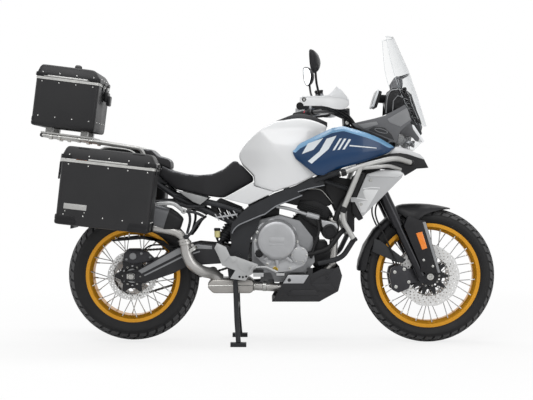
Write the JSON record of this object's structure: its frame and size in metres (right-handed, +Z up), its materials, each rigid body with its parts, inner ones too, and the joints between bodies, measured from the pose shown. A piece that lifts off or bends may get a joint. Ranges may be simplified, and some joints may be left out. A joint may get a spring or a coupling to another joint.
{
  "type": "adventure motorcycle with wire wheels and aluminium luggage cases",
  "caption": "Adventure motorcycle on its centre stand, with wire wheels, tall screen, crash bars, and aluminium top and side cases with hinged lids.",
  "frame": {"origin": "on the ground, at the middle of the overall length and width", "axes": "+X forward, +Y to the rider's left, +Z up"},
  "size_m": [2.2409, 0.94, 1.491],
  "materials": {
    "tyre": "matt",
    "gold_rim": "gloss",
    "spoke_steel": "satin",
    "disc_steel": "brushed",
    "sprocket_steel": "satin",
    "chain_steel": "oiled",
    "frame_black": "satin",
    "swingarm_grey": "satin",
    "engine_alloy": "cast",
    "cover_alloy": "cast",
    "black_metal": "satin",
    "radiator_black": "matt",
    "exhaust_steel": "heat stained",
    "skid_black": "grained",
    "white_paint": "gloss",
    "blue_paint": "gloss",
    "black_plastic": "grained",
    "grey_plastic": "satin",
    "silver_paint": "satin",
    "seat_cover": "matt",
    "screen_clear": "clear",
    "lamp_lens": "clear",
    "signal_lens": "gloss",
    "fork_alloy": "anodised",
    "caliper_black": "anodised",
    "bar_black": "satin",
    "rubber_black": "matt",
    "case_black": "textured",
    "rack_silver": "satin"
  },
  "bodies": {
    "chassis": {"frame": "frame_black", "swingarm": "swingarm_grey", "shock_absorber": "black_metal", "chain": "chain_steel", "rear_caliper": "caliper_black", "engine_case": "engine_alloy", "engine_covers": "cover_alloy", "cylinders": "black_metal", "radiator": "radiator_black", "exhaust_headers": "exhaust_steel", "exhaust_box": "exhaust_steel", "silencer": "exhaust_steel", "skid_plate": "skid_black", "fuel_tank": "white_paint", "tank_trim": "black_plastic", "side_panels": "white_paint", "shrouds": "blue_paint", "radiator_covers": "silver_paint", "beak": "white_paint", "lower_beak": "black_plastic", "headlight": "lamp_lens", "fairing": "grey_plastic", "windscreen": "screen_clear", "dashboard": "black_plastic", "rider_seat": "seat_cover", "pillion_seat": "seat_cover", "tail_fairing": "black_plastic", "rear_rack": "rack_silver", "pannier_carriers": "frame_black", "rear_mudguard": "black_plastic", "signal_lamps": "signal_lens", "crash_bars": "rack_silver", "footrests": "silver_paint", "top_case": "case_black", "right_pannier": "case_black", "left_pannier": "case_black"},
    "steering": {"triple_clamps": "black_metal", "fork_legs": "fork_alloy", "fork_covers": "black_plastic", "front_fender": "black_plastic", "front_calipers": "caliper_black", "handlebar": "bar_black", "bar_controls": "rubber_black", "hand_guards": "white_paint", "mirrors": "black_plastic"},
    "front_wheel": {"front_tyre": "tyre", "front_rim": "gold_rim", "front_hub_and_spokes": "spoke_steel", "front_discs": "disc_steel"},
    "rear_wheel": {"rear_tyre": "tyre", "rear_rim": "gold_rim", "rear_hub_and_spokes": "spoke_steel", "rear_disc": "disc_steel", "rear_sprocket": "sprocket_steel"},
    "centre_stand_body": {"centre_stand": "frame_black"},
    "side_stand_body": {"side_stand": "frame_black"},
    "top_lid": {"top_case_lid": "case_black"},
    "right_lid": {"right_pannier_lid": "case_black"},
    "left_lid": {"left_pannier_lid": "case_black"}
  },
  "joints": [
    {"name": "steering_turn", "type": "hinge", "parent": "chassis", "child": "steering", "pos_m": [0.74307, 0, 0.30661], "axis": [-0.4305, 0, 0.9026], "range_deg": [-33, 33]},
    {"name": "front_wheel_spin", "type": "hinge", "parent": "steering", "child": "front_wheel", "pos_m": [0.79, 0, 0.329], "axis": [0, 1, 0], "continuous": true},
    {"name": "rear_wheel_spin", "type": "hinge", "parent": "chassis", "child": "rear_wheel", "pos_m": [-0.65, 0, 0.331], "axis": [0, 1, 0], "continuous": true},
    {"name": "centre_stand_fold", "type": "hinge", "parent": "chassis", "child": "centre_stand_body", "pos_m": [-0.15, 0, 0.34], "axis": [0, 1, 0], "range_deg": [0, 75]},
    {"name": "side_stand_swing", "type": "hinge", "parent": "chassis", "child": "side_stand_body", "pos_m": [0.012, 0.196, 0.285], "axis": [0, -1, 0], "range_deg": [0, 95]},
    {"name": "top_lid_hinge", "type": "hinge", "parent": "chassis", "child": "top_lid", "pos_m": [-0.78324, 0, 1.25426], "axis": [0, 1, 0], "range_deg": [0, 95]},
    {"name": "right_lid_hinge", "type": "hinge", "parent": "chassis", "child": "right_lid", "pos_m": [-0.4943, -0.3575, 0.84608], "axis": [0, 1, 0], "range_deg": [0, 95]},
    {"name": "left_lid_hinge", "type": "hinge", "parent": "chassis", "child": "left_lid", "pos_m": [-0.4943, 0.3575, 0.84608], "axis": [0, 1, 0], "range_deg": [0, 95]}
  ]
}
